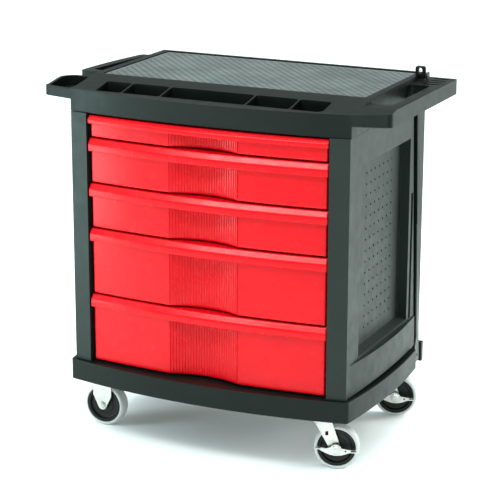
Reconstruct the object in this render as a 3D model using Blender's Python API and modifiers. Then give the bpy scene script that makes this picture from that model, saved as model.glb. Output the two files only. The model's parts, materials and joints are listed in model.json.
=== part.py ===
"""Five-drawer mobile tool cart: bowed base on four casters, two side panels, five drawers
on runner racks, and a top deck with a work mat, a parts tray, a cup pocket and handles.

Metres, +Z up, +X along the length towards the large handle, the drawers open towards -Y.
The origin is on the floor under the middle of the cart.
"""
import math

import bmesh
import bpy
from mathutils import Matrix, Vector

# ---------------------------------------------------------------- driving dimensions
GAP = 0.0003                # left between pieces that touch

# Base
BASE_HALF = 0.342           # half length at the corners
BASE_FRONT = -0.216         # y of the front corners
BASE_REAR = 0.246           # y of the rear edge
BASE_LOW = 0.135
BASE_TOP = 0.183
BASE_BOW = 0.038            # how far the front edge bows forward
BASE_SIDE_BOW = 0.016       # how far each side bows outward
BASE_FLOOR = 0.150          # top of the base's floor
LUG_REACH = 0.008           # rear corner lugs stand this far behind the rear edge
LUG_INNER = 0.318           # and start this far from the middle
WELL_LOW = (-0.298, -0.196) # corners of the well under the lowest drawer
WELL_HIGH = (0.298, 0.226)
WELL_RADIUS = 0.020

# Cabinet between base and deck
CAB_HALF = 0.334
CAB_FRONT = -0.212
CAB_REAR = 0.242
CAB_TOP = 0.760
PANEL_THICK = 0.028
POST_WIDTH = 0.0435
POST_DEPTH = 0.022
RECESS_DEPTH = 0.022        # from the panel's outer face to the perforated web
RECESS_FRONT = -0.141
RECESS_REAR = 0.154
RECESS_LOW = 0.258          # top of the bottom rail
RECESS_SILL = 0.271         # where the sloping sill meets the web
RECESS_HIGH = 0.690
RAIL_BOW = 0.014            # bow of the panel's bottom rail
RAIL_END = 0.016            # the rail starts this far behind the panel's front
RAIL_TAIL = 0.020           # and ends this far before its rear
WEB_THICK = 0.004
BACK_THICK = 0.004

# Deck
DECK_HALF = 0.335
DECK_FRONT = -0.205
DECK_REAR = 0.229
DECK_BOW = 0.042            # bow of the front lip
APRON_BOW = 0.024           # bow of the apron's lower edge, which is drafted inward
DECK_LIP = 0.811            # height of the front lip
DECK_TOP = 0.829            # height of the raised rim round the mat
DECK_HOLLOW = 0.768         # ceiling of the hollow under the parts tray
DECK_HOLLOW_HIGH = 0.816    # ceiling of the hollow under the mat
DECK_SKIRT = 0.008
RAMP_START = -0.201
RAMP_END = -0.109
PLATFORM_LEFT = -0.329
PLATFORM_RIGHT = 0.338
HANDLE_LOW = 0.786
HANDLE_TOP = 0.820
HANDLE_HALF = 0.4145
HANDLE_LEVEL = -0.155       # y where the handle stops rising with the ramp
GRIP_LOW = (0.340, -0.114)  # corners of the hand hole
GRIP_HIGH = (0.388, 0.121)
JOIN_HALF = 0.330           # handles and cup pocket start inside the deck's side
LEFT_RAIL_TOP = 0.815
LEFT_GRIP_Y = (-0.006, 0.198)
LEFT_GRIP_INNER = -0.341
LEFT_GRIP_OUTER = (-0.391, -0.368)   # x at the front and at the rear, as the rail leans inward
CUP_REAR = -0.082
CUP_FRONT = -0.165
CUP_RADIUS = 0.035
CUP_WALL = 0.008
CUP_INNER = -0.346
CUP_FLOOR = 0.793
CUP_RIM_FRONT = 0.8075
CUP_RIM_REAR = 0.815
SLOT_COUNT = 4              # tool slots in the shelf behind the right handle
SLOT_FIRST = 0.141
SLOT_PITCH = 0.0225
SLOT_HALF = 0.004
SLOT_ROUND = 0.0038
SLOT_LEFT = 0.364
SLOT_RIGHT = 0.401
MAT_LEFT = -0.311
MAT_RIGHT = 0.3225
MAT_FRONT = -0.1035
MAT_REAR = 0.2185
MAT_TOP = 0.826
MAT_THICK = 0.0024
MAT_CORNER = 0.006
TRAY_FRONT = -0.207
TRAY_REAR = -0.147
TRAY_FLOOR = 0.772
TRAY_EDGES = (-0.272, -0.208, -0.114, 0.090, 0.193, 0.267)
DIVIDER = 0.004
TRAY_CORNER = 0.008

# Drawers, from the top down: top of the front, bottom of the front, height of the rolled lip
DRAWERS = (
    (0.755, 0.707, 0.018),
    (0.703, 0.604, 0.028),
    (0.600, 0.501, 0.028),
    (0.497, 0.347, 0.028),
    (0.343, 0.188, 0.028),
)
FACE_HALF = 0.283
FACE_EDGE = -0.208          # y of the drawer face at its ends
FRONT_BACK = -0.196
FACE_BOW = 0.017
LIP_HALF = 0.288
LIP_EDGE = -0.216
LIP_BOW = 0.020
SCOOP_HALF = 0.086
SCOOP_DEEP = 0.018
TRAY_HALF = 0.276
TRAY_BACK = 0.196
TRAY_WALL = 0.003
FLANGE_HALF = 0.2885
FLANGE_DROP = 0.012         # flange below the drawer front's top
FLANGE_THICK = 0.003
RACK_OUT = 0.3057
RACK_IN = 0.301
LEDGE_IN = 0.281
LEDGE_THICK = 0.004

# Casters
WHEEL_R = 0.0508
TYRE_IN = 0.0428
TYRE_HALF = 0.016
HUB_HALF = 0.017
BORE_R = 0.0053
AXLE_R = 0.0050
NUT_R = 0.0075              # the nuts at the axle's ends
NUT_HIGH = 0.0062
FORK_IN = 0.0185
FORK_THICK = 0.003
PLATE_TOP = BASE_LOW - GAP
PLATE_THICK = 0.003
PLATE_HALF_X = 0.046
PLATE_HALF_Y = 0.030
RIGID_X = -0.303
SWIVEL_X = 0.257
TRAIL = 0.032
TRAIL_ANGLE = math.radians(18)
RIGID_Y = {"front": -0.125, "rear": 0.212}
SWIVEL_Y = {"front": -0.150, "rear": 0.214}
CROWN_LOW = 0.1075
CROWN_TOP = 0.1235
CROWN_R = 0.026
KINGPIN_R = 0.0058
PIN_CLEAR = 0.0004
PEDAL_REACH = 0.044

# Lock bar, which leans forward on its way up the rear right corner
BAR_X = 0.336
BAR_WIDTH = 0.015
BAR_THICK = 0.003
BAR_LOW = (0.231, 0.140)    # y, z of the bar's lower end
BAR_HIGH = (0.184, 0.822)   # y, z where it comes out of the deck
HASP_LOW = 0.830
HASP_TOP = 0.851
HASP_WIDTH = 0.024
HASP_OUT = 0.0065           # the head stands this far outside the bar
BAR_CLEAR = 0.0012
CHANNEL_IN = 0.322          # floor of the channel that the bar runs in
CHANNEL_AHEAD = 0.026       # the channel reaches this far in front of the bar's middle
CHANNEL_BEHIND = 0.010
NOTCH_IN = 0.3326           # the same for the notch in the base
NOTCH_AHEAD = 0.018

MAIN = bpy.data.collections.new("tool_cart")
CUTTERS = bpy.data.collections.new("cutters")


# ---------------------------------------------------------------- helpers
def clear_scene():
    for obj in list(bpy.data.objects):
        bpy.data.objects.remove(obj, do_unlink=True)
    for collection in (MAIN, CUTTERS):
        bpy.context.scene.collection.children.link(collection)


def material(name, colour, roughness, metallic=0.0):
    mat = bpy.data.materials.new(name)
    mat.use_nodes = True
    shader = mat.node_tree.nodes["Principled BSDF"]
    shader.inputs["Base Color"].default_value = (*colour, 1.0)
    shader.inputs["Roughness"].default_value = roughness
    shader.inputs["Metallic"].default_value = metallic
    return mat


def link(obj, collection=None):
    (collection or MAIN).objects.link(obj)
    return obj


def from_bmesh(name, bm, collection=None):
    bmesh.ops.recalc_face_normals(bm, faces=bm.faces)
    mesh = bpy.data.meshes.new(name)
    bm.to_mesh(mesh)
    bm.free()
    return link(bpy.data.objects.new(name, mesh), collection)


def box(name, low, high, collection=None):
    """A box between two corners."""
    bm = bmesh.new()
    size = [h - l for l, h in zip(low, high)]
    middle = [(h + l) / 2 for l, h in zip(low, high)]
    matrix = Matrix.Translation(middle) @ Matrix.Diagonal((*size, 1.0))
    bmesh.ops.create_cube(bm, size=1.0, matrix=matrix)
    return from_bmesh(name, bm, collection)


def plate(name, outline, low, high, plane="XY", collection=None):
    """A flat outline with straight sides, between two heights across its plane."""
    curve = bpy.data.curves.new(name, "CURVE")
    curve.dimensions = "2D"
    curve.fill_mode = "BOTH"
    curve.extrude = (high - low) / 2
    spline = curve.splines.new("POLY")
    spline.points.add(len(outline) - 1)
    for point, (u, v) in zip(spline.points, outline):
        point.co = (u, v, 0.0, 1.0)
    spline.use_cyclic_u = True
    guide = link(bpy.data.objects.new(name + "_outline", curve), CUTTERS)
    middle = (low + high) / 2
    turn = {
        "XY": Matrix.Translation((0, 0, middle)),
        "YZ": Matrix(((0, 0, 1, middle), (1, 0, 0, 0), (0, 1, 0, 0), (0, 0, 0, 1))),
        "XZ": Matrix(((1, 0, 0, 0), (0, 0, -1, middle), (0, 1, 0, 0), (0, 0, 0, 1))),
    }[plane]
    graph = bpy.context.evaluated_depsgraph_get()
    mesh = bpy.data.meshes.new_from_object(guide.evaluated_get(graph))
    bm = bmesh.new()
    bm.from_mesh(mesh)
    bmesh.ops.remove_doubles(bm, verts=bm.verts, dist=0.00001)
    bmesh.ops.transform(bm, matrix=turn, verts=bm.verts)
    bmesh.ops.dissolve_limit(bm, angle_limit=0.001, verts=bm.verts, edges=bm.edges)
    bpy.data.objects.remove(guide, do_unlink=True)
    bpy.data.curves.remove(curve)
    bpy.data.meshes.remove(mesh)
    return from_bmesh(name, bm, collection)


def turned(name, profile, steps=32, collection=None):
    """A profile of (radius, height) points, from the top down the outside, turned about Z."""
    mesh = bpy.data.meshes.new(name)
    closed = list(range(len(profile)))
    edges = [(i, (i + 1) % len(profile)) for i in closed]
    mesh.from_pydata([(r, 0.0, z) for r, z in profile], edges, [])
    obj = link(bpy.data.objects.new(name, mesh), collection)
    screw = obj.modifiers.new("turn", "SCREW")
    screw.steps = steps
    screw.render_steps = steps
    screw.use_merge_vertices = True
    screw.merge_threshold = 0.00001
    screw.use_smooth_shade = True
    return obj


def baked(obj, matrix=None):
    """The object's evaluated mesh becomes its own mesh, moved by the matrix."""
    bpy.context.view_layer.update()
    graph = bpy.context.evaluated_depsgraph_get()
    mesh = bpy.data.meshes.new_from_object(obj.evaluated_get(graph))
    mesh.transform(obj.matrix_world)
    obj.matrix_world = Matrix.Identity(4)
    if matrix:
        mesh.transform(matrix)
    obj.modifiers.clear()
    obj.data = mesh
    return obj


def boolean(obj, tool, operation):
    modifier = obj.modifiers.new(operation.lower(), "BOOLEAN")
    modifier.operation = operation
    modifier.solver = "EXACT"
    modifier.object = tool
    return obj


def cut(obj, tool):
    """The tool, kept as a wire cutter, is taken out of the object."""
    for collection in list(tool.users_collection):
        collection.objects.unlink(tool)
    link(tool, CUTTERS)
    tool.hide_render = True
    tool.display_type = "WIRE"
    return boolean(obj, tool, "DIFFERENCE")


def join(obj, *tools):
    """The tools are united with the object and removed."""
    for tool in tools:
        boolean(obj, tool, "UNION")
    baked(obj)
    for tool in tools:
        bpy.data.objects.remove(tool, do_unlink=True)
    return obj


def finish(obj, mat, smooth=False):
    obj.data.materials.clear()
    obj.data.materials.append(mat)
    if smooth:
        obj.data.shade_smooth()
        obj.data.set_sharp_from_angle(angle=math.radians(35))
    return obj


def bow(start, end, rise, steps):
    """Points on a circular arc from start to end, bulging to the right of the way."""
    start, end = Vector(start), Vector(end)
    chord = end - start
    if abs(rise) < 1e-6:
        return [tuple(start), tuple(end)]
    side = Vector((chord.y, -chord.x)).normalized()
    radius = (chord.length ** 2 / 4 + rise ** 2) / (2 * rise)
    centre = (start + end) / 2 - side * (radius - rise)
    first = math.atan2(start.y - centre.y, start.x - centre.x)
    sweep = 2 * math.asin(min(1.0, chord.length / 2 / abs(radius)))
    turn = sweep if (radius > 0) else -sweep
    angles = [first + turn * i / steps for i in range(steps + 1)]
    return [(centre.x + abs(radius) * math.cos(a), centre.y + abs(radius) * math.sin(a)) for a in angles]


def corner(centre, radius, first, last, steps=5):
    """Points on a round corner, between two angles in degrees."""
    angles = [math.radians(first + (last - first) * i / steps) for i in range(steps + 1)]
    return [(centre[0] + radius * math.cos(a), centre[1] + radius * math.sin(a)) for a in angles]


def rounded(low, high, radius, steps=4):
    """A rectangle's outline with round corners."""
    (x0, y0), (x1, y1) = low, high
    return (corner((x1 - radius, y0 + radius), radius, -90, 0, steps)
            + corner((x1 - radius, y1 - radius), radius, 0, 90, steps)
            + corner((x0 + radius, y1 - radius), radius, 90, 180, steps)
            + corner((x0 + radius, y0 + radius), radius, 180, 270, steps))


def mirrored(name, obj):
    """A copy of the object on the other side of the YZ plane."""
    mesh = obj.data.copy()
    mesh.transform(Matrix.Diagonal((-1.0, 1.0, 1.0, 1.0)))
    mesh.flip_normals()
    return link(bpy.data.objects.new(name, mesh))


def along(value, start, end, low, high):
    """low before start, high after end, and a straight slope between."""
    share = min(1.0, max(0.0, (value - start) / (end - start)))
    return low + (high - low) * share


def slope_top(obj, above, height_at, creases):
    """The top of a prism follows height_at(y), with an edge at each crease."""
    bm = bmesh.new()
    bm.from_mesh(obj.data)
    for y in creases:
        geometry = bm.verts[:] + bm.edges[:] + bm.faces[:]
        bmesh.ops.bisect_plane(bm, geom=geometry, plane_co=(0, y, 0), plane_no=(0, 1, 0), dist=1e-6)
    for vert in bm.verts:
        if vert.co.z > above:
            vert.co.z = height_at(vert.co.y)
    bm.to_mesh(obj.data)
    bm.free()
    return obj


# ---------------------------------------------------------------- base
def base_tray(mat):
    outline = (bow((-BASE_HALF, BASE_FRONT), (BASE_HALF, BASE_FRONT), BASE_BOW, 16)
               + bow((BASE_HALF, BASE_FRONT), (BASE_HALF, BASE_REAR), BASE_SIDE_BOW, 10)[1:]
               + bow((-BASE_HALF, BASE_REAR), (-BASE_HALF, BASE_FRONT), BASE_SIDE_BOW, 10)[:-1])
    base = plate("base_tray", outline, BASE_LOW, BASE_TOP)
    lug = box("lug", (LUG_INNER, BASE_REAR - 0.010, BASE_LOW), (BASE_HALF, BASE_REAR + LUG_REACH, BASE_TOP))
    join(base, mirrored("lug_left", lug), lug)
    cut(base, plate("base_well", rounded(WELL_LOW, WELL_HIGH, WELL_RADIUS), BASE_FLOOR, BASE_TOP + 0.01))
    cut(base, bar_channel("base_bar_notch", NOTCH_IN, NOTCH_AHEAD, CHANNEL_BEHIND))
    return finish(base, mat)


# ---------------------------------------------------------------- cabinet
def side_panel(name, mat):
    """The right-hand panel: front post, perforated web in a recess, bowed bottom rail."""
    inner = CAB_HALF - PANEL_THICK
    post_in = CAB_HALF - POST_WIDTH
    outline = [(post_in, CAB_FRONT), (CAB_HALF, CAB_FRONT), (CAB_HALF, CAB_REAR), (inner, CAB_REAR),
               (inner, CAB_FRONT + POST_DEPTH), (post_in, CAB_FRONT + POST_DEPTH)]
    panel = plate(name, outline, BASE_TOP + GAP, CAB_TOP - GAP)
    rail_front, rail_rear = CAB_FRONT + RAIL_END, CAB_REAR - RAIL_TAIL
    rail_outline = (bow((CAB_HALF, rail_front), (CAB_HALF, rail_rear), RAIL_BOW, 10)
                    + [(inner + 0.004, rail_rear), (inner + 0.004, rail_front)])
    join(panel, plate("rail", rail_outline, BASE_TOP + GAP, RECESS_LOW))
    web = CAB_HALF - RECESS_DEPTH
    outside = CAB_HALF + 0.05
    fall = (RECESS_SILL - RECESS_LOW) / (CAB_HALF + RAIL_BOW - web)
    section = [(web, RECESS_SILL), (outside, RECESS_SILL - fall * (outside - web)),
               (outside, RECESS_HIGH), (web, RECESS_HIGH)]
    cut(panel, plate(name + "_recess", section, RECESS_FRONT, RECESS_REAR, "XZ"))
    cut(panel, box(name + "_hollow", (inner - 0.01, RECESS_FRONT - 0.02, RECESS_LOW - 0.03),
                   (web - WEB_THICK, RECESS_REAR + 0.02, RECESS_HIGH + 0.02)))
    return baked(finish(panel, mat))


def back_panel(mat):
    half = CAB_HALF - PANEL_THICK - GAP
    rear = CAB_REAR - 0.004
    panel = box("back_panel", (-half, rear - BACK_THICK, BASE_TOP + GAP), (half, rear, CAB_TOP - GAP))
    return finish(panel, mat)


def flange_height(index):
    return DRAWERS[index][0] - FLANGE_DROP


def runner_rack(name, mat):
    """An upright plate on the right-hand panel with one ledge for each drawer."""
    front, rear = CAB_FRONT + POST_DEPTH + 0.002, 0.205
    rack = box(name, (RACK_IN, front, 0.200), (RACK_OUT, rear, 0.752))
    ledges = []
    for index in range(len(DRAWERS)):
        top = flange_height(index) - FLANGE_THICK - 0.0005
        ledges.append(box("ledge", (LEDGE_IN, front, top - LEDGE_THICK), (RACK_IN + 0.002, rear, top)))
    join(rack, *ledges)
    return finish(rack, mat)


# ---------------------------------------------------------------- deck
def right_handle():
    """The loop handle and the slotted shelf behind it."""
    rear = DECK_REAR - 0.004
    outline = (bow((JOIN_HALF, DECK_FRONT + 0.002), (HANDLE_HALF - 0.010, -0.187), 0.002, 3)
               + corner((HANDLE_HALF - 0.014, -0.171), 0.014, -75, 0)
               + corner((HANDLE_HALF - 0.004, rear - 0.004), 0.004, 0, 90)
               + [(JOIN_HALF, rear)])
    handle = plate("right_handle", outline, HANDLE_LOW, HANDLE_TOP)
    slope_top(handle, HANDLE_LOW + 0.01,
              lambda y: along(y, RAMP_START, HANDLE_LEVEL, DECK_LIP - 0.0005, HANDLE_TOP),
              (RAMP_START, HANDLE_LEVEL))
    below, above = HANDLE_LOW - 0.01, HANDLE_TOP + 0.01
    cut(handle, plate("right_grip_hole", rounded(GRIP_LOW, GRIP_HIGH, 0.012), below, above))
    for index in range(SLOT_COUNT):
        middle = SLOT_FIRST + SLOT_PITCH * index
        outline = rounded((SLOT_LEFT, middle - SLOT_HALF), (SLOT_RIGHT, middle + SLOT_HALF), SLOT_ROUND, 3)
        cut(handle, plate("tool_slot", outline, below, above))
    return handle


def left_handle():
    """The side rail, open between itself and the deck."""
    outline = ([(-JOIN_HALF, 0.221), (-JOIN_HALF, -0.026)]
               + corner((-0.402, -0.018), 0.010, 270, 180, 3)
               + bow((-0.412, -0.010), (-0.387, 0.206), -0.004, 5)[1:]
               + corner((-0.373, 0.207), 0.014, 175, 90, 3))
    handle = plate("left_handle", list(reversed(outline)), HANDLE_LOW, LEFT_RAIL_TOP)
    front, rear = LEFT_GRIP_Y
    hole = [(LEFT_GRIP_INNER, front), (LEFT_GRIP_INNER, rear), (LEFT_GRIP_OUTER[1], rear),
            (LEFT_GRIP_OUTER[0], front + 0.010), (LEFT_GRIP_OUTER[0] + 0.008, front)]
    cut(handle, plate("left_grip_hole", hole, HANDLE_LOW - 0.01, HANDLE_TOP + 0.01))
    return handle


def cup_pocket():
    """The round-ended pocket at the front left corner; its rim rises a little towards the rear."""
    centre = (-HANDLE_HALF + CUP_RADIUS, CUP_REAR - CUP_RADIUS)
    outline = ([(-JOIN_HALF, CUP_REAR)]
               + corner(centre, CUP_RADIUS, 90, 180, 8)
               + [(-HANDLE_HALF, CUP_FRONT)]
               + corner((-HANDLE_HALF + 0.018, CUP_FRONT - 0.007), 0.018, 180, 255, 4)
               + [(-JOIN_HALF, DECK_FRONT + 0.002)])
    pocket = plate("cup_pocket", list(reversed(outline)), HANDLE_LOW, CUP_RIM_REAR)
    slope_top(pocket, HANDLE_LOW + 0.01,
              lambda y: along(y, CUP_FRONT, centre[1], CUP_RIM_FRONT, CUP_RIM_REAR), (CUP_FRONT, centre[1]))
    inner = -HANDLE_HALF + CUP_WALL
    well = ([(CUP_INNER, CUP_REAR - CUP_WALL)]
            + corner(centre, CUP_RADIUS - CUP_WALL, 90, 180, 8)
            + corner((inner + 0.012, CUP_FRONT - 0.003), 0.012, 180, 260, 3)
            + [(CUP_INNER, -0.190)])
    cut(pocket, plate("pocket_well", well, CUP_FLOOR, DECK_TOP))
    return pocket


def top_deck(mat):
    front = bow((-DECK_HALF, DECK_FRONT), (DECK_HALF, DECK_FRONT), DECK_BOW, 16)
    outline = front + [(DECK_HALF, DECK_REAR), (-DECK_HALF, DECK_REAR)]
    deck = plate("top_deck", outline, CAB_TOP, DECK_LIP)
    for vert in deck.data.vertices:
        if vert.co.y < DECK_FRONT - 0.0001 and vert.co.z < DECK_LIP - 0.001:
            vert.co.y = DECK_FRONT + (vert.co.y - DECK_FRONT) * APRON_BOW / DECK_BOW
    rear, foot = DECK_REAR - 0.0005, DECK_LIP - 0.004
    section = [(RAMP_START, foot), (rear, foot), (rear, DECK_TOP), (RAMP_END, DECK_TOP),
               (RAMP_START, DECK_LIP)]
    ramp = plate("ramp", section, PLATFORM_LEFT, PLATFORM_RIGHT, "YZ")
    join(deck, ramp, right_handle(), left_handle(), cup_pocket())
    side, rear, below = DECK_HALF - DECK_SKIRT, DECK_REAR - DECK_SKIRT, CAB_TOP - 0.01
    cut(deck, box("hollow_under_tray", (-side, DECK_FRONT + DECK_SKIRT, below), (side, rear, DECK_HOLLOW)))
    cut(deck, box("hollow_under_mat", (-side, TRAY_REAR + DECK_SKIRT, below), (side, rear, DECK_HOLLOW_HIGH)))
    bed = rounded((MAT_LEFT - GAP, MAT_FRONT - GAP), (MAT_RIGHT + GAP, MAT_REAR + GAP), MAT_CORNER)
    cut(deck, plate("mat_bed", bed, MAT_TOP - MAT_THICK - GAP, DECK_TOP + 0.01))
    last = len(TRAY_EDGES) - 2
    for index in range(last + 1):
        left = TRAY_EDGES[index] + (DIVIDER / 2 if index else 0)
        right = TRAY_EDGES[index + 1] - (DIVIDER / 2 if index < last else 0)
        outline = rounded((left, TRAY_FRONT), (right, TRAY_REAR), TRAY_CORNER, 3)
        cut(deck, plate("tray_pocket", outline, TRAY_FLOOR, DECK_TOP + 0.01))
    cut(deck, bar_clearance("deck_bar_slot", BAR_CLEAR))
    return finish(deck, mat)


def work_mat(mat):
    outline = rounded((MAT_LEFT, MAT_FRONT), (MAT_RIGHT, MAT_REAR), MAT_CORNER)
    return finish(plate("work_mat", outline, MAT_TOP - MAT_THICK, MAT_TOP), mat)


# ---------------------------------------------------------------- drawers
def drawer_front(index, mat):
    top, low, lip = DRAWERS[index]
    face = ([(FACE_HALF, FRONT_BACK), (-FACE_HALF, FRONT_BACK)]
            + bow((-FACE_HALF, FACE_EDGE), (FACE_HALF, FACE_EDGE), FACE_BOW, 14))
    rolled = ([(LIP_HALF, FRONT_BACK), (-LIP_HALF, FRONT_BACK)]
              + bow((-LIP_HALF, LIP_EDGE), (LIP_HALF, LIP_EDGE), LIP_BOW, 14))
    front = plate(f"drawer_{index + 1}_front", face, low, top - lip + 0.001)
    middle = FACE_EDGE - FACE_BOW
    ahead = middle - 0.04
    scoop = (bow((SCOOP_HALF, middle), (-SCOOP_HALF, middle), SCOOP_DEEP, 10)
             + [(-SCOOP_HALF, ahead), (SCOOP_HALF, ahead)])
    cut(front, plate(f"drawer_{index + 1}_scoop", scoop, low - 0.01, top - lip))
    join(front, plate("lip", rolled, top - lip, top))
    return finish(front, mat)


def drawer_tray(index, mat):
    top, low, _ = DRAWERS[index]
    front = FRONT_BACK + GAP
    rim = flange_height(index)
    floor = low + 0.004
    tray = box(f"drawer_{index + 1}_tray", (-TRAY_HALF, front, floor), (TRAY_HALF, TRAY_BACK, rim))
    flange = box("flange", (-FLANGE_HALF, front + 0.010, rim - FLANGE_THICK), (FLANGE_HALF, TRAY_BACK, rim))
    join(tray, flange)
    inner, rear = TRAY_HALF - TRAY_WALL, TRAY_BACK - TRAY_WALL
    inside = rounded((-inner, front + TRAY_WALL), (inner, rear), TRAY_CORNER, 3)
    cut(tray, plate(f"drawer_{index + 1}_inside", inside, floor + TRAY_WALL, rim + 0.01))
    return finish(tray, mat)


# ---------------------------------------------------------------- casters
def about_y():
    """Turns a piece made about Z so that it lies about Y."""
    return Matrix.Rotation(math.radians(90), 4, "X")


def wheel(prefix, place, rubber, hub_mat, steel):
    """Tyre, hub and axle of one wheel; place is the matrix of the wheel's centre and heading."""
    half = TYRE_HALF
    edge = 0.004
    crown = [(TYRE_IN, half), (WHEEL_R - edge, half), (WHEEL_R - 0.001, half - edge * 0.6),
             (WHEEL_R, half - 2 * edge)]
    tyre = turned(prefix + "_tyre", crown + [(r, -h) for r, h in reversed(crown)], 36)
    rim = TYRE_IN - GAP
    dish = [(BORE_R, HUB_HALF), (0.011, HUB_HALF), (0.013, 0.010), (0.034, 0.008), (0.037, half - 0.001),
            (rim, half - 0.001)]
    hub = turned(prefix + "_hub", dish + [(r, -h) for r, h in reversed(dish)], 36)
    outer = FORK_IN + FORK_THICK
    nut = [(0.0, outer + NUT_HIGH), (NUT_R, outer + NUT_HIGH), (NUT_R, outer + GAP), (AXLE_R, outer + GAP)]
    axle = turned(prefix + "_axle", nut + [(r, -h) for r, h in reversed(nut)], 16)
    for piece, mat in ((tyre, rubber), (hub, hub_mat), (axle, steel)):
        baked(piece, place @ about_y())
        finish(piece, mat, smooth=True)


def fork_leg(name, outline, across, place):
    """One leg: an outline in the wheel's plane, at a place across it, with a bore for the axle."""
    leg = plate(name, outline, across - FORK_THICK / 2, across + FORK_THICK / 2, "XZ")
    return baked(leg, place)


def bore(name, matrix, radius):
    """A round cutter along the matrix's Z axis."""
    bm = bmesh.new()
    bmesh.ops.create_cone(bm, segments=16, radius1=radius, radius2=radius, depth=0.12, cap_ends=True)
    bmesh.ops.transform(bm, matrix=matrix, verts=bm.verts)
    return from_bmesh(name, bm, CUTTERS)


def rigid_caster(which, rubber, hub_mat, steel):
    prefix = f"rigid_{which}"
    place = Matrix.Translation((RIGID_X, RIGID_Y[which], WHEEL_R))
    low = PLATE_TOP - PLATE_THICK
    fork = box(prefix + "_fork", (RIGID_X - PLATE_HALF_X, RIGID_Y[which] - PLATE_HALF_Y, low),
               (RIGID_X + PLATE_HALF_X, RIGID_Y[which] + PLATE_HALF_Y, PLATE_TOP))
    rise = low + 0.001 - WHEEL_R
    outline = ([(-0.024, rise), (-0.024, 0.024)] + corner((0.0, 0.0), 0.011, 205, 335, 6)
               + [(0.024, 0.024), (0.024, rise)])
    across = FORK_IN + FORK_THICK / 2
    join(fork, fork_leg("leg", outline, across, place), fork_leg("leg", outline, -across, place))
    cut(fork, bore(prefix + "_bore", place @ about_y(), BORE_R))
    finish(fork, steel)
    wheel(prefix, place, rubber, hub_mat, steel)


def swivel_caster(which, rubber, hub_mat, steel):
    prefix = f"swivel_{which}"
    stem = Matrix.Translation((SWIVEL_X, SWIVEL_Y[which], 0.0)) @ Matrix.Rotation(TRAIL_ANGLE, 4, "Z")
    place = stem @ Matrix.Translation((TRAIL, 0.0, WHEEL_R))
    low = PLATE_TOP - PLATE_THICK
    mount = box(prefix + "_plate", (SWIVEL_X - PLATE_HALF_X, SWIVEL_Y[which] - PLATE_HALF_Y, low),
                (SWIVEL_X + PLATE_HALF_X, SWIVEL_Y[which] + PLATE_HALF_Y, PLATE_TOP))
    race = turned("race", [(0.0, low + 0.001), (0.020, low + 0.001), (0.024, CROWN_TOP + 0.004),
                           (0.021, CROWN_TOP + 0.0008), (0.0, CROWN_TOP + 0.0008)], 24)
    join(mount, baked(race, Matrix.Translation((SWIVEL_X, SWIVEL_Y[which], 0.0))))
    pin_place = stem @ Matrix.Translation((0.0, 0.0, CROWN_TOP))
    cut(mount, bore(prefix + "_plate_hole", pin_place, KINGPIN_R + PIN_CLEAR))
    finish(mount, steel)

    cap = [(0.0, CROWN_TOP), (CROWN_R - 0.002, CROWN_TOP), (CROWN_R, CROWN_TOP - 0.003),
           (CROWN_R, CROWN_LOW), (0.0, CROWN_LOW)]
    crown = baked(turned(prefix + "_fork", cap, 24), stem)
    top = CROWN_TOP - 0.004 - WHEEL_R
    outline = ([(-0.052, top)] + [(-0.014, -0.002)] + corner((0.0, 0.0), 0.012, 215, 350, 6)
               + [(0.004 - TRAIL + 0.016, top)])
    across = FORK_IN + FORK_THICK / 2
    join(crown, fork_leg("leg", outline, across, place), fork_leg("leg", outline, -across, place))
    cut(crown, bore(prefix + "_bore", place @ about_y(), BORE_R))
    cut(crown, bore(prefix + "_crown_hole", pin_place, KINGPIN_R + PIN_CLEAR))
    finish(crown, steel)

    head = CROWN_LOW - PIN_CLEAR
    shank = [(0.0, low + 0.002), (KINGPIN_R, low + 0.002), (KINGPIN_R, head)]
    pin = turned(prefix + "_kingpin", shank + [(0.009, head), (0.009, head - 0.003), (0.0, head - 0.003)], 16)
    finish(baked(pin, stem), steel, smooth=True)
    wheel(prefix, place, rubber, hub_mat, steel)
    brake_pedal(prefix, place, steel)


def brake_pedal(prefix, place, steel):
    """A winged rocker that turns about the axle outside the fork, with a foot pad at each end."""
    near = -(FORK_IN + FORK_THICK + 0.0070)
    reach = PEDAL_REACH
    wing = ([(-reach, 0.004), (-0.026, -0.006)] + bow((-0.016, -0.010), (0.018, -0.010), 0.003, 4)
            + [(0.028, -0.006), (reach, -0.002), (reach, 0.001), (0.026, 0.002)]
            + corner((0.0, 0.0), 0.013, 20, 150, 6) + [(-0.022, 0.003), (-reach, 0.007)])
    pedal = plate(prefix + "_brake", wing, near - 0.0022, near, "XZ")
    pads = [box("pad", (-reach - 0.001, near - 0.012, 0.0045), (-reach + 0.011, near - 0.001, 0.0065)),
            box("pad", (reach - 0.011, near - 0.012, -0.0012), (reach + 0.001, near - 0.001, 0.0008))]
    join(pedal, *pads)
    baked(pedal, place)
    finish(pedal, steel)


# ---------------------------------------------------------------- lock bar
def bar_frame():
    """Origin at the bar's lower end, +Z up along the bar, +X outward."""
    way = Vector((0.0, BAR_HIGH[0] - BAR_LOW[0], BAR_HIGH[1] - BAR_LOW[1]))
    lean = math.atan2(-way.y, way.z)
    return Matrix.Translation((BAR_X, *BAR_LOW)) @ Matrix.Rotation(lean, 4, "X"), way.length


def bar_clearance(name, clear):
    """The slot that the bar slides in through the deck."""
    frame, length = bar_frame()
    half = BAR_WIDTH / 2 + clear
    thick = BAR_THICK / 2 + clear
    tool = box(name, (-thick, -half, length / 2), (thick, half, length + 0.06), CUTTERS)
    tool.data.transform(frame)
    return tool


def bar_channel(name, floor, ahead, behind):
    """A channel along the bar, open to the outside, with its floor at an x."""
    frame, length = bar_frame()
    tool = box(name, (floor - BAR_X, -ahead, -0.02), (0.05, behind, length), CUTTERS)
    tool.data.transform(frame)
    return tool


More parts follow.
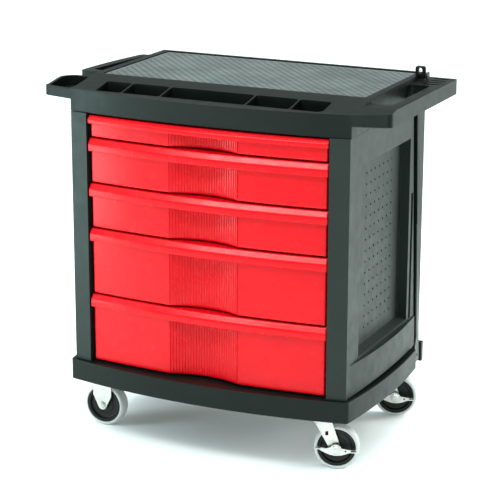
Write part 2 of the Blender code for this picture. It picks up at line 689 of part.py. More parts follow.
def lock_bar(mat):
    frame, length = bar_frame()
    half = BAR_WIDTH / 2
    head_low = length + HASP_LOW - BAR_HIGH[1]
    head_top = length + HASP_TOP - BAR_HIGH[1]
    bar = box("lock_bar", (-BAR_THICK / 2, -half, 0.0), (BAR_THICK / 2, half, head_low + 0.002))
    inner, outer = HASP_OUT - HASP_WIDTH / 2, HASP_OUT + HASP_WIDTH / 2
    head = plate("head", rounded((inner, head_low), (outer, head_top), 0.006), -0.0035, 0.0035, "XZ")
    join(bar, head)
    eye_low, eye_high = (HASP_OUT - 0.0055, head_low + 0.005), (HASP_OUT + 0.0055, head_top - 0.005)
    eye = plate("lock_bar_eye", rounded(eye_low, eye_high, 0.004, 3), -0.02, 0.02, "XZ", CUTTERS)
    cut(bar, eye)
    across = Matrix.Translation((0.0, 0.0, 0.013)) @ Matrix.Rotation(math.radians(90), 4, "Y")
    cut(bar, bore("lock_bar_hole", across, 0.0028))
    return finish(baked(bar, frame), mat)


def hasp_staple(mat):
    """The fixed ear beside the lock bar's head."""
    middle = BAR_HIGH[0] - 0.001
    ear = plate("hasp_staple", rounded((middle - 0.008, HANDLE_TOP + GAP), (middle + 0.008, 0.838), 0.004),
                0.3575, 0.3610, "YZ")
    return finish(ear, mat)


# ---------------------------------------------------------------- origins
def set_origin(name, point):
    """The piece stays where it is and its origin goes to a point."""
    obj = baked(bpy.data.objects[name])
    obj.data.transform(Matrix.Translation(-Vector(point)))
    obj.location = point


def put_origins_on_axes():
    for index, (top, low, _) in enumerate(DRAWERS):
        for part in ("front", "tray"):
            set_origin(f"drawer_{index + 1}_{part}", (0.0, FACE_EDGE, (top + low) / 2))
    for which in ("front", "rear"):
        hub = (RIGID_X, RIGID_Y[which], WHEEL_R)
        for part in ("hub", "tyre"):
            set_origin(f"rigid_{which}_{part}", hub)
        stem = Vector((SWIVEL_X, SWIVEL_Y[which], WHEEL_R))
        hub = stem + TRAIL * Vector((math.cos(TRAIL_ANGLE), math.sin(TRAIL_ANGLE), 0.0))
        for part in ("fork", "axle"):
            set_origin(f"swivel_{which}_{part}", stem)
        for part in ("hub", "tyre", "brake"):
            set_origin(f"swivel_{which}_{part}", hub)
    set_origin("lock_bar", (BAR_X, *BAR_LOW))


# ---------------------------------------------------------------- build
def main():
    clear_scene()
    charcoal = material("charcoal_moulding", (0.045, 0.050, 0.048), 0.50)
    web = material("charcoal_side", (0.060, 0.066, 0.063), 0.55)
    mat_rubber = material("work_mat", (0.075, 0.085, 0.082), 0.75)
    red = material("red_moulding", (0.78, 0.012, 0.020), 0.32)
    red_tub = material("red_tub", (0.70, 0.015, 0.020), 0.40)
    zinc = material("zinc_plate", (0.80, 0.80, 0.77), 0.28, 1.0)
    rubber = material("grey_tyre", (0.42, 0.43, 0.42), 0.60)
    hub_black = material("hub_black", (0.020, 0.021, 0.021), 0.40)
    dark_steel = material("dark_steel", (0.08, 0.08, 0.08), 0.40, 0.8)

    base_tray(charcoal)
    right = side_panel("side_panel_right", web)
    finish(mirrored("side_panel_left", right), web)
    cut(right, bar_channel("panel_bar_channel", CHANNEL_IN, CHANNEL_AHEAD, CHANNEL_BEHIND))
    back_panel(charcoal)
    rack = runner_rack("runner_rack_right", charcoal)
    finish(mirrored("runner_rack_left", rack), charcoal)
    top_deck(charcoal)
    work_mat(mat_rubber)
    for index in range(len(DRAWERS)):
        drawer_front(index, red)
        drawer_tray(index, red_tub)
    for which in ("front", "rear"):
        rigid_caster(which, rubber, hub_black, zinc)
        swivel_caster(which, rubber, hub_black, zinc)
    lock_bar(zinc)
    hasp_staple(dark_steel)
    put_origins_on_axes()


main()
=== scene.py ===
"""Looks of the five-drawer mobile tool cart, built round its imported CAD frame.

Metres, +Z up; the drawers open towards -Y and the large handle is at +X.
"""
import json
import math

import bmesh
import bpy
from mathutils import Matrix, Vector


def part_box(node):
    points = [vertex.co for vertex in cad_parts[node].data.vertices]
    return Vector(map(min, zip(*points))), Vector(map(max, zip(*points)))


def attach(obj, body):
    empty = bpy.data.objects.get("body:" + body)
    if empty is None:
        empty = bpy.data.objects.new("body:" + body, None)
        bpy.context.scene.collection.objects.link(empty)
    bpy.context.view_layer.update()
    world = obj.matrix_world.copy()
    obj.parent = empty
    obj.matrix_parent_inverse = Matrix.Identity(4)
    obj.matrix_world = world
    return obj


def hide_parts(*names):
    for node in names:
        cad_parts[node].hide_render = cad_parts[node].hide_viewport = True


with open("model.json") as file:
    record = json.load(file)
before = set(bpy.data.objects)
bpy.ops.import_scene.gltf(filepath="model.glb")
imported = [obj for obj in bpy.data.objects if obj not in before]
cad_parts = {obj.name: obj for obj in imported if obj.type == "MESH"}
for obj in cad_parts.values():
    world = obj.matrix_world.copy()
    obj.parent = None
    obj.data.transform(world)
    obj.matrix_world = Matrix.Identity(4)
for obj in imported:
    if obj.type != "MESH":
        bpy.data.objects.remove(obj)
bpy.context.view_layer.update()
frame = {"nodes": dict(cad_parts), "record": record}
NODES = frame["nodes"]
CART = "cart_body"

# ---------------------------------------------------------------- sizes shared with the CAD
BASE_HALF, BASE_FRONT, BASE_REAR = 0.342, -0.216, 0.246
BASE_LOW, BASE_TOP, BASE_BOW, BASE_SIDE_BOW = 0.135, 0.183, 0.038, 0.016
PANEL_HALF, PANEL_FRONT, PANEL_REAR, PANEL_TOP = 0.334, -0.212, 0.242, 0.760
RECESS_FRONT, RECESS_REAR, RECESS_LOW, RECESS_SILL, RECESS_HIGH = -0.141, 0.154, 0.258, 0.271, 0.690
DECK_HALF, DECK_FRONT, DECK_REAR, DECK_BOW = 0.335, -0.205, 0.229, 0.042
APRON_BOW = 0.024                            # bow of the apron's lower edge, which is drafted inward
DECK_LIP, DECK_TOP = 0.811, 0.829
RAMP_START, RAMP_END = -0.201, -0.109
PLATFORM_LEFT, PLATFORM_RIGHT, JOIN_HALF = -0.329, 0.338, 0.330
HANDLE_LOW, HANDLE_TOP, HANDLE_HALF, HANDLE_LEVEL = 0.786, 0.820, 0.4145, -0.155
CUP_FRONT, CUP_REAR, CUP_RADIUS, CUP_WALL, CUP_FLOOR = -0.165, -0.082, 0.035, 0.008, 0.793
CUP_RIM_FRONT, CUP_RIM_REAR = 0.8075, 0.815
TRAY_EDGES = (-0.272, -0.208, -0.114, 0.090, 0.193, 0.267)
MAT_TOP, MAT_RELIEF = 0.826, 0.0018
MAT_BED, MAT_BED_FLOOR = ((-0.3113, -0.1038), (0.3228, 0.2188)), 0.8233
SLOT_LEFT, SLOT_RIGHT, SLOT_FRONT, SLOT_REAR, SLOT_PITCH = 0.364, 0.401, 0.137, 0.145, 0.0225
PEG_START, PEG_PITCH, PEG_RADIUS, PEG_COLUMNS, PEG_ROWS = (-0.056, 0.304), 0.025, 0.0026, 7, 15
FRONT_BACK = -0.196
LIPS = (0.018, 0.028, 0.028, 0.028, 0.028)   # height of each drawer's rolled lip
FACE_HALF, FACE_EDGE, FACE_BOW = 0.283, -0.208, 0.017
LIP_HALF, LIP_EDGE, LIP_BOW = 0.288, -0.216, 0.020
SCOOP_HALF, SCOOP_DEEP, SCOOP_RIBS = 0.086, 0.018, 27
AXLE_Z = 0.0508
RIGID_X, RIGID_Y = -0.303, {"front": -0.125, "rear": 0.212}
SWIVEL_X, SWIVEL_Y = 0.257, {"front": -0.150, "rear": 0.214}
TRAIL, TRAIL_ANGLE = 0.032, math.radians(18)
FORK_ACROSS, FORK_HALF_THICK = 0.020, 0.0015
PLATE_BOLTS = [(dx, dy) for dx in (-0.036, 0.036) for dy in (-0.019, 0.019)]
BAR_LOW, BAR_HIGH, BAR_X = (0.231, 0.140), (0.184, 0.822), 0.336
HASP_OUT, HASP_LOW, HASP_HIGH = 0.0065, 0.8215, 0.851
GAP = 0.0003


# ---------------------------------------------------------------- materials
class Nodes:
    """A material's node tree with short ways to add to it."""

    def __init__(self, name, colour, roughness, metallic=0.0, specular=0.5):
        self.material = bpy.data.materials.new(name)
        self.material.use_nodes = True
        self.tree = self.material.node_tree
        self.shader = self.tree.nodes["Principled BSDF"]
        self.shader.inputs["Base Color"].default_value = (*colour, 1.0)
        self.shader.inputs["Roughness"].default_value = roughness
        self.shader.inputs["Metallic"].default_value = metallic
        self.shader.inputs["Specular IOR Level"].default_value = specular
        self.place = self.add("ShaderNodeTexCoord").outputs["Object"]

    def add(self, kind, **values):
        node = self.tree.nodes.new(kind)
        for key, value in values.items():
            if key in node.inputs:
                node.inputs[key].default_value = value
            else:
                setattr(node, key, value)
        return node

    def join(self, output, socket):
        self.tree.links.new(output, socket)

    def noise(self, scale, detail=3.0, stretch=(1.0, 1.0, 1.0)):
        mapping = self.add("ShaderNodeMapping")
        mapping.inputs["Scale"].default_value = stretch
        texture = self.add("ShaderNodeTexNoise", Scale=scale, Detail=detail)
        self.join(self.place, mapping.inputs["Vector"])
        self.join(mapping.outputs["Vector"], texture.inputs["Vector"])
        return texture.outputs["Fac"]

    def cells(self, scale):
        texture = self.add("ShaderNodeTexVoronoi", Scale=scale)
        self.join(self.place, texture.inputs["Vector"])
        return texture.outputs["Distance"]

    def ramp(self, value, low, high, start=0.3, end=0.7):
        ramp = self.add("ShaderNodeValToRGB")
        ramp.color_ramp.elements[0].position = start
        ramp.color_ramp.elements[1].position = end
        ramp.color_ramp.elements[0].color = (*low, 1.0)
        ramp.color_ramp.elements[1].color = (*high, 1.0)
        self.join(value, ramp.inputs["Fac"])
        return ramp.outputs["Color"]

    def range(self, value, low, high):
        spread = self.add("ShaderNodeMapRange")
        spread.inputs["From Min"].default_value = 0.3
        spread.inputs["From Max"].default_value = 0.7
        spread.inputs["To Min"].default_value = low
        spread.inputs["To Max"].default_value = high
        self.join(value, spread.inputs["Value"])
        return spread.outputs["Result"]

    def height(self, low, high):
        """0 below the low level, 1 above the high one."""
        split = self.add("ShaderNodeSeparateXYZ")
        spread = self.add("ShaderNodeMapRange")
        spread.inputs["From Min"].default_value = low
        spread.inputs["From Max"].default_value = high
        self.join(self.place, split.inputs["Vector"])
        self.join(split.outputs["Z"], spread.inputs["Value"])
        return spread.outputs["Result"]

    def times(self, first, second):
        """Two colours multiplied."""
        product = self.add("ShaderNodeMix", data_type="RGBA", blend_type="MULTIPLY")
        product.inputs["Factor"].default_value = 1.0
        self.join(first, product.inputs["A"])
        self.join(second, product.inputs["B"])
        return product.outputs["Result"]

    def bumps(self, *layers):
        """Each layer is (height output, strength, distance in metres)."""
        normal = None
        for height, strength, distance in layers:
            bump = self.add("ShaderNodeBump", Strength=strength, Distance=distance)
            self.join(height, bump.inputs["Height"])
            if normal:
                self.join(normal, bump.inputs["Normal"])
            normal = bump.outputs["Normal"]
        self.join(normal, self.shader.inputs["Normal"])


def scaled(colour, factor):
    return tuple(min(1.0, c * factor) for c in colour)


def plastic(name, colour, roughness, specular=0.5, mottle=0.12, grain=900.0, depth=0.00006,
            sheen=(1.0, 1.0, 1.0)):
    """Moulded plastic: cloudy colour, uneven gloss and a fine moulded grain."""
    m = Nodes(name, colour, roughness, specular=specular)
    m.shader.inputs["Specular Tint"].default_value = (*sheen, 1.0)
    cloud = m.noise(9.0, 4.0)
    cloudy = m.ramp(cloud, scaled(colour, 1 - mottle), scaled(colour, 1 + mottle))
    m.join(cloudy, m.shader.inputs["Base Color"])
    m.join(m.range(m.noise(38.0, 2.0), roughness - 0.05, roughness + 0.05), m.shader.inputs["Roughness"])
    m.bumps((m.cells(grain), 0.5, depth), (m.noise(5.0, 1.0), 0.4, 0.0006))
    return m.material


def metal(name, colour, rough_low, rough_high, streak=(1.0, 1.0, 1.0)):
    """Plated or rolled steel: faint streaks in colour and gloss, and tiny dents."""
    m = Nodes(name, colour, rough_low, metallic=1.0)
    cloud = m.noise(55.0, 4.0, streak)
    m.join(m.ramp(cloud, scaled(colour, 0.82), scaled(colour, 1.05)), m.shader.inputs["Base Color"])
    m.join(m.range(m.noise(140.0, 3.0, streak), rough_low, rough_high), m.shader.inputs["Roughness"])
    m.bumps((m.noise(420.0, 2.0, streak), 0.25, 0.00008))
    return m.material


def strip_steel():
    """The lock strip: dull dark coated steel, with painted shade darkening it above its lower end."""
    m = Nodes("zinc_strip", (0.2, 0.22, 0.21), 0.5, specular=0.25)
    streaks = m.noise(55.0, 4.0, (1.0, 1.0, 0.12))
    # painted shade: the steel colour is multiplied darker above 0.2 m, so the lower end stays lighter
    painted_shade_above = m.ramp(m.height(0.20, 0.40), (1.0, 1.0, 1.0), (0.12, 0.13, 0.13), 0.0, 1.0)
    steel = m.ramp(streaks, (0.085, 0.093, 0.090), (0.120, 0.130, 0.127))
    m.join(m.times(steel, painted_shade_above), m.shader.inputs["Base Color"])
    m.join(m.range(m.noise(140.0, 3.0, (1.0, 1.0, 0.12)), 0.40, 0.56), m.shader.inputs["Roughness"])
    m.bumps((m.noise(420.0, 2.0), 0.25, 0.00008))
    return m.material


def mat_rubber():
    """Cloudy grey rubber, with painted shade darkening it down between the raised bars."""
    m = Nodes("mat_rubber", (0.1, 0.12, 0.11), 0.6, specular=0.3)
    clouds = m.ramp(m.noise(14.0, 5.0), (0.105, 0.128, 0.124), (0.155, 0.185, 0.178))
    # painted shade: the low ground between the raised bars is darkened by height
    depth = m.ramp(m.height(MAT_TOP - MAT_RELIEF, MAT_TOP), (0.42, 0.42, 0.42), (1.0, 1.0, 1.0), 0.0, 1.0)
    m.join(m.times(clouds, depth), m.shader.inputs["Base Color"])
    m.join(m.range(m.noise(60.0, 2.0), 0.54, 0.68), m.shader.inputs["Roughness"])
    m.bumps((m.cells(1500.0), 0.5, 0.0001))
    return m.material


GREENISH = (0.80, 1.0, 0.93)
CHARCOAL = plastic("charcoal_moulding", (0.0042, 0.0062, 0.0054), 0.36, specular=0.155, sheen=GREENISH)
PANEL = plastic("charcoal_panel", (0.0080, 0.0112, 0.0102), 0.46, specular=0.29, grain=1100.0,
                sheen=GREENISH)
RED = plastic("red_moulding", (0.56, 0.003, 0.008), 0.25, specular=0.19, mottle=0.04, grain=1300.0,
              depth=0.00002)
RED_TUB = plastic("red_tub", (0.62, 0.008, 0.014), 0.42, specular=0.4, mottle=0.06)
TYRE = plastic("grey_tyre", (0.50, 0.53, 0.52), 0.55, specular=0.4, mottle=0.08, grain=700.0)
HUB = plastic("black_hub", (0.006, 0.008, 0.0075), 0.34, specular=0.22, mottle=0.2)
ZINC = metal("zinc_plate", (0.56, 0.57, 0.545), 0.22, 0.42)
STRIP = strip_steel()
MAT = mat_rubber()
BLACK_STEEL = metal("black_steel", (0.045, 0.048, 0.047), 0.30, 0.46)


# ---------------------------------------------------------------- outlines
def bow(start, end, rise, steps):
    """Points on a circular arc from start to end, bulging to the right of the way."""
    start, end = Vector(start), Vector(end)
    chord = end - start
    side = Vector((chord.y, -chord.x)).normalized()
    radius = (chord.length ** 2 / 4 + rise ** 2) / (2 * rise)
    centre = (start + end) / 2 - side * (radius - rise)
    first = math.atan2(start.y - centre.y, start.x - centre.x)
    sweep = math.copysign(2 * math.asin(chord.length / 2 / abs(radius)), radius)
    angles = [first + sweep * i / steps for i in range(steps + 1)]
    return [(centre.x + abs(radius) * math.cos(a), centre.y + abs(radius) * math.sin(a)) for a in angles]


def corner(centre, radius, first, last, steps=6):
    """Points on a round corner, between two angles in degrees."""
    angles = [math.radians(first + (last - first) * i / steps) for i in range(steps + 1)]
    return [(centre[0] + radius * math.cos(a), centre[1] + radius * math.sin(a)) for a in angles]


def rounded(low, high, radius, steps=5):
    """A rectangle's outline with round corners."""
    (x0, y0), (x1, y1) = low, high
    return (corner((x1 - radius, y0 + radius), radius, -90, 0, steps)
            + corner((x1 - radius, y1 - radius), radius, 0, 90, steps)
            + corner((x0 + radius, y1 - radius), radius, 90, 180, steps)
            + corner((x0 + radius, y0 + radius), radius, 180, 270, steps))


def eased(outline, radius, steps=5, sharper=30.0):
    """The outline with its sharp corners rounded, and nothing added outside it."""
    points = [Vector(p) for p in outline]
    out = []
    for before, here, after in zip(points[-1:] + points[:-1], points, points[1:] + points[:1]):
        back, ahead = before - here, after - here
        turn = math.pi - back.angle(ahead)
        if math.degrees(turn) < sharper:
            out.append(tuple(here))
            continue
        reach = min(radius * math.tan(turn / 2), 0.48 * back.length, 0.48 * ahead.length)
        first, last = here + back.normalized() * reach, here + ahead.normalized() * reach
        for k in range(steps + 1):
            t = k / steps
            out.append(tuple((1 - t) ** 2 * first + 2 * t * (1 - t) * here + t * t * last))
    return out


def along(value, start, end, low, high):
    """low before start, high after end, and a straight slope between."""
    share = min(1.0, max(0.0, (value - start) / (end - start)))
    return low + (high - low) * share


# ---------------------------------------------------------------- meshes
def from_bmesh(name, bm):
    bmesh.ops.recalc_face_normals(bm, faces=bm.faces)
    mesh = bpy.data.meshes.new(name)
    bm.to_mesh(mesh)
    bm.free()
    obj = bpy.data.objects.new(name, mesh)
    bpy.context.scene.collection.objects.link(obj)
    return obj


PLANES = {
    "XY": Matrix.Identity(4),
    "YZ": Matrix(((0, 0, 1, 0), (1, 0, 0, 0), (0, 1, 0, 0), (0, 0, 0, 1))),
    "XZ": Matrix(((1, 0, 0, 0), (0, 0, 1, 0), (0, 1, 0, 0), (0, 0, 0, 1))),
}


def prism(name, outline, low, high, plane="XY"):
    """An outline carried straight across its plane, from low to high."""
    bm = bmesh.new()
    near = [bm.verts.new((u, v, low)) for u, v in outline]
    far = [bm.verts.new((u, v, high)) for u, v in outline]
    bm.faces.new(near)
    bm.faces.new(far)
    for k in range(len(outline)):
        bm.faces.new((near[k - 1], near[k], far[k], far[k - 1]))
    bmesh.ops.remove_doubles(bm, verts=bm.verts, dist=0.00001)
    bmesh.ops.transform(bm, matrix=PLANES[plane], verts=bm.verts)
    return from_bmesh(name, bm)


def block(name, low, high):
    outline = [(low[0], low[1]), (high[0], low[1]), (high[0], high[1]), (low[0], high[1])]
    return prism(name, outline, low[2], high[2])


def lathe(name, profile, steps=72):
    """A closed profile of (radius, height) points turned about Z."""
    bm = bmesh.new()
    turns = [2 * math.pi * i / steps for i in range(steps)]
    rings = [[bm.verts.new((r * math.cos(a), r * math.sin(a), z)) for r, z in profile] for a in turns]
    for i in range(steps):
        one, two = rings[i - 1], rings[i]
        for k in range(len(profile)):
            bm.faces.new((one[k - 1], two[k - 1], two[k], one[k]))
    bmesh.ops.remove_doubles(bm, verts=bm.verts, dist=0.000001)
    return from_bmesh(name, bm)


def hexagon(name, across, low, high):
    """A hexagon bar end, across its flats."""
    radius = across / math.sqrt(3)
    return prism(name, corner((0, 0), radius, 0, 300, 5), low, high)


def baked(obj):
    """The object's evaluated mesh becomes its own mesh."""
    bpy.context.view_layer.update()
    graph = bpy.context.evaluated_depsgraph_get()
    mesh = bpy.data.meshes.new_from_object(obj.evaluated_get(graph))
    obj.modifiers.clear()
    obj.data = mesh
    return obj


def boolean(obj, tools, operation):
    """Each tool is united with the object or taken out of it, and removed."""
    for tool in tools:
        modifier = obj.modifiers.new("boolean", "BOOLEAN")
        modifier.operation = operation
        modifier.solver = "EXACT"
        modifier.object = tool
        baked(obj)
        bpy.data.objects.remove(tool, do_unlink=True)
    return obj


def join(obj, *tools):
    return boolean(obj, tools, "UNION")


def cut(obj, *tools):
    return boolean(obj, tools, "DIFFERENCE")


def merged(name, parts):
    """Separate closed meshes become one object, without a boolean."""
    bm = bmesh.new()
    for part in parts:
        bm.from_mesh(part.data)
        bpy.data.objects.remove(part, do_unlink=True)
    return from_bmesh(name, bm)


def soften(obj, width, segments=3, angle=30.0, hollows=True):
    """Rounds every edge sharper than the angle, those between hollow faces only if asked."""
    bm = bmesh.new()
    bm.from_mesh(obj.data)
    bmesh.ops.remove_doubles(bm, verts=bm.verts, dist=0.0003)
    bmesh.ops.dissolve_limit(bm, angle_limit=math.radians(0.1), verts=bm.verts, edges=bm.edges)
    least = math.radians(angle)
    bends = {edge: edge.calc_face_angle_signed(0.0) for edge in bm.edges}
    chosen = [edge for edge, bend in bends.items() if bend > least or (hollows and bend < -least)]
    bmesh.ops.bevel(bm, geom=chosen, offset=width, offset_type="OFFSET", segments=segments, profile=0.5,
                    affect="EDGES", clamp_overlap=True)
    bm.to_mesh(obj.data)
    bm.free()
    return obj


def moved(obj, matrix):
    obj.data.transform(matrix)
    return obj


def dress(obj, material, body, replaced=(), smooth=36.0):
    """Gives a finished piece its material, shading, body and the CAD nodes it stands for."""
    obj.data.materials.clear()
    obj.data.materials.append(material)
    obj.data.shade_smooth()
    obj.data.set_sharp_from_angle(angle=math.radians(smooth))
    weighted = obj.modifiers.new("even_normals", "WEIGHTED_NORMAL")
    weighted.keep_sharp = True
    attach(obj, body)
    if replaced:
        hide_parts(*replaced)
    return obj


# ---------------------------------------------------------------- base
def base_shell():
    front = bow((-BASE_HALF, BASE_FRONT), (BASE_HALF, BASE_FRONT), BASE_BOW, 40)
    sides = (bow((BASE_HALF, BASE_FRONT), (BASE_HALF, BASE_REAR), BASE_SIDE_BOW, 20)[1:]
             + bow((-BASE_HALF, BASE_REAR), (-BASE_HALF, BASE_FRONT), BASE_SIDE_BOW, 20)[:-1])
    base = prism("base_shell", eased(front + sides, 0.010), BASE_LOW, BASE_TOP)
    lugs = [block("lug", (x, BASE_REAR - 0.010, BASE_LOW), (x + 0.024, BASE_REAR + 0.008, BASE_TOP))
            for x in (-BASE_HALF, BASE_HALF - 0.024)]
    join(base, *lugs)
    cut(base, prism("well", rounded((-0.298, -0.196), (0.298, 0.226), 0.020), 0.150, BASE_TOP + 0.01),
        bar_channel(0.3326, -0.042, 0.010))
    soften(base, 0.0024)
    return dress(base, CHARCOAL, CART, ["base_tray"])


# ---------------------------------------------------------------- side panels
def side_panel(name, keeps_bar):
    """The right-hand panel: post, perforated web in a recess with a sloping sill, bowed bottom
    rail over a shadow groove. The one that keeps the lock bar has a channel for it."""
    half, inner = PANEL_HALF, PANEL_HALF - 0.028
    post_in, web, outside = half - 0.0435, half - 0.022, half + 0.05
    low, high = BASE_TOP + GAP, PANEL_TOP - GAP
    panel = prism(name, [(post_in, PANEL_FRONT - 0.004), (half, PANEL_FRONT + 0.005), (half, PANEL_REAR),
                         (inner, PANEL_REAR), (inner, PANEL_FRONT + 0.022), (post_in, PANEL_FRONT + 0.022)],
                  low, high)
    rail_front, rail_rear = PANEL_FRONT + 0.016, PANEL_REAR - 0.020
    rail = (bow((half, rail_front), (half, rail_rear), 0.014, 24)
            + [(inner + 0.004, rail_rear), (inner + 0.004, rail_front)])
    join(panel, prism("rail", rail, low, RECESS_LOW))
    fall = (RECESS_SILL - RECESS_LOW) / (half + 0.014 - web)
    section = [(web, RECESS_SILL), (outside, RECESS_SILL - fall * (outside - web)), (outside, RECESS_HIGH),
               (web, RECESS_HIGH)]
    cut(panel, prism("recess", section, RECESS_FRONT, RECESS_REAR, "XZ"),
        block("hollow", (inner - 0.01, RECESS_FRONT - 0.02, 0.228), (web - 0.004, RECESS_REAR + 0.02, 0.710)))
    groove_front, groove_rear, groove_high = PANEL_FRONT + 0.010, PANEL_REAR - 0.014, 0.0060
    groove = (bow((groove_rear, low + 0.0012), (groove_front, low + 0.0012), groove_high, 20)
              + [(groove_front, low - 0.02), (groove_rear, low - 0.02)])
    cut(panel, prism("groove", groove, half - 0.014, outside, "YZ"))
    if keeps_bar:
        stile = rounded((0.167, 0.262), (0.179, 0.560), 0.003)
        cut(panel, bar_channel(0.322, -0.0205, 0.010),
            prism("stile_groove", stile, half - 0.009, outside, "YZ"))
    soften(panel, 0.0016)
    pegs = []
    for column in range(PEG_COLUMNS):
        for row in range(PEG_ROWS):
            place = (PEG_START[0] + PEG_PITCH * column, PEG_START[1] + PEG_PITCH * row)
            pegs.append(prism("peg", corner(place, PEG_RADIUS, 0, 330, 11), web - 0.010, web + 0.004, "YZ"))
    return cut(panel, merged("pegs", pegs))


def side_panels():
    right = side_panel("side_panel_shell", True)
    left = moved(side_panel("side_panel_shell_left", False), Matrix.Diagonal((-1.0, 1.0, 1.0, 1.0)))
    left.data.flip_normals()
    dress(right, PANEL, CART, ["side_panel_right"])
    dress(left, PANEL, CART, ["side_panel_left"])


def back_sheet():
    low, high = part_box("back_panel")
    sheet = block("back_sheet", low, high)
    edge = 0.030
    middle = (low.z + high.z) / 2
    fields = []
    for below, above in ((low.z + edge, middle - edge / 2), (middle + edge / 2, high.z - edge)):
        for left, right in ((low.x + edge, -edge / 2), (edge / 2, high.x - edge)):
            fields.append(prism("field", rounded((left, below), (right, above), 0.012), high.y - 0.0015,
                                high.y + 0.01, "XZ"))
    cut(sheet, merged("fields", fields))
    soften(sheet, 0.0008, 2)
    return dress(sheet, CHARCOAL, CART, ["back_panel"])


# ---------------------------------------------------------------- deck
def slope_top(obj, above, height_at, creases):
    """The top of a prism follows height_at(y), with an edge at each crease."""
    bm = bmesh.new()
    bm.from_mesh(obj.data)
    for y in creases:
        geometry = bm.verts[:] + bm.edges[:] + bm.faces[:]
        bmesh.ops.bisect_plane(bm, geom=geometry, plane_co=(0, y, 0), plane_no=(0, 1, 0), dist=1e-6)
    for vert in bm.verts:
        if vert.co.z > above:
            vert.co.z = height_at(vert.co.y)
    bm.to_mesh(obj.data)
    bm.free()
    return obj


def right_handle():
    rear = DECK_REAR - 0.004
    turn = corner((HANDLE_HALF - 0.016, -0.171), 0.016, -77, 0, 8)
    outline = ([(JOIN_HALF, DECK_FRONT + 0.005), (DECK_HALF, DECK_FRONT)] + turn
               + corner((HANDLE_HALF - 0.004, rear - 0.004), 0.004, 0, 90, 4) + [(JOIN_HALF, rear)])
    handle = prism("right_handle", outline, HANDLE_LOW, HANDLE_TOP)
    return slope_top(handle, HANDLE_LOW + 0.01,
                     lambda y: along(y, RAMP_START, HANDLE_LEVEL, DECK_LIP, HANDLE_TOP),
                     (RAMP_START, HANDLE_LEVEL))


def left_handle():
    outline = ([(-JOIN_HALF, 0.221), (-JOIN_HALF, -0.026)]
               + corner((-0.402, -0.018), 0.010, 270, 180, 4)
               + bow((-0.412, -0.010), (-0.387, 0.206), -0.004, 8)[1:]
               + corner((-0.373, 0.207), 0.014, 175, 90, 5))
    handle = prism("left_handle", outline[::-1], HANDLE_LOW, 0.815)
    hole = [(-0.341, -0.006), (-0.341, 0.198), (-0.368, 0.198), (-0.391, 0.004), (-0.383, -0.006)]
    return cut(handle, prism("grip", eased(hole, 0.005), HANDLE_LOW - 0.01, 0.83))


def cup_pocket():
    """The rim rises a little towards the round rear end."""
    centre = (-HANDLE_HALF + CUP_RADIUS, CUP_REAR - CUP_RADIUS)
    inner = -HANDLE_HALF + CUP_WALL
    outline = ([(-JOIN_HALF, CUP_REAR)] + corner(centre, CUP_RADIUS, 90, 180, 14)
               + [(-HANDLE_HALF, CUP_FRONT)]
               + corner((-HANDLE_HALF + 0.018, CUP_FRONT - 0.007), 0.018, 180, 255, 6)
               + [(-DECK_HALF, DECK_FRONT), (-JOIN_HALF, DECK_FRONT + 0.005)])
    pocket = prism("cup_pocket", outline[::-1], HANDLE_LOW, CUP_RIM_REAR)
    slope_top(pocket, HANDLE_LOW + 0.01,
              lambda y: along(y, CUP_FRONT, centre[1], CUP_RIM_FRONT, CUP_RIM_REAR), (CUP_FRONT, centre[1]))
    well = ([(-0.346, CUP_REAR - CUP_WALL)] + corner(centre, CUP_RADIUS - CUP_WALL, 90, 180, 12)
            + corner((inner + 0.012, CUP_FRONT - 0.003), 0.012, 180, 260, 4) + [(-0.346, -0.190)])
    return cut(pocket, prism("pocket_well", well, CUP_FLOOR, DECK_TOP))


def tray_pocket(index):
    """One pocket of the parts tray; the last one has a big round corner in front."""
    last = len(TRAY_EDGES) - 2
    left = TRAY_EDGES[index] + (0.002 if index else 0)
    right = TRAY_EDGES[index + 1] - (0.002 if index < last else 0)
    front, rear, big, small = -0.207, -0.147, 0.018, 0.007
    turn = big if index == last else small
    outline = (corner((right - turn, front + turn), turn, -90, 0)
               + corner((right - small, rear - small), small, 0, 90)
               + corner((left + small, rear - small), small, 90, 180)
               + corner((left + small, front + small), small, 180, 270))
    return prism("pocket", outline, 0.772, DECK_TOP + 0.01)


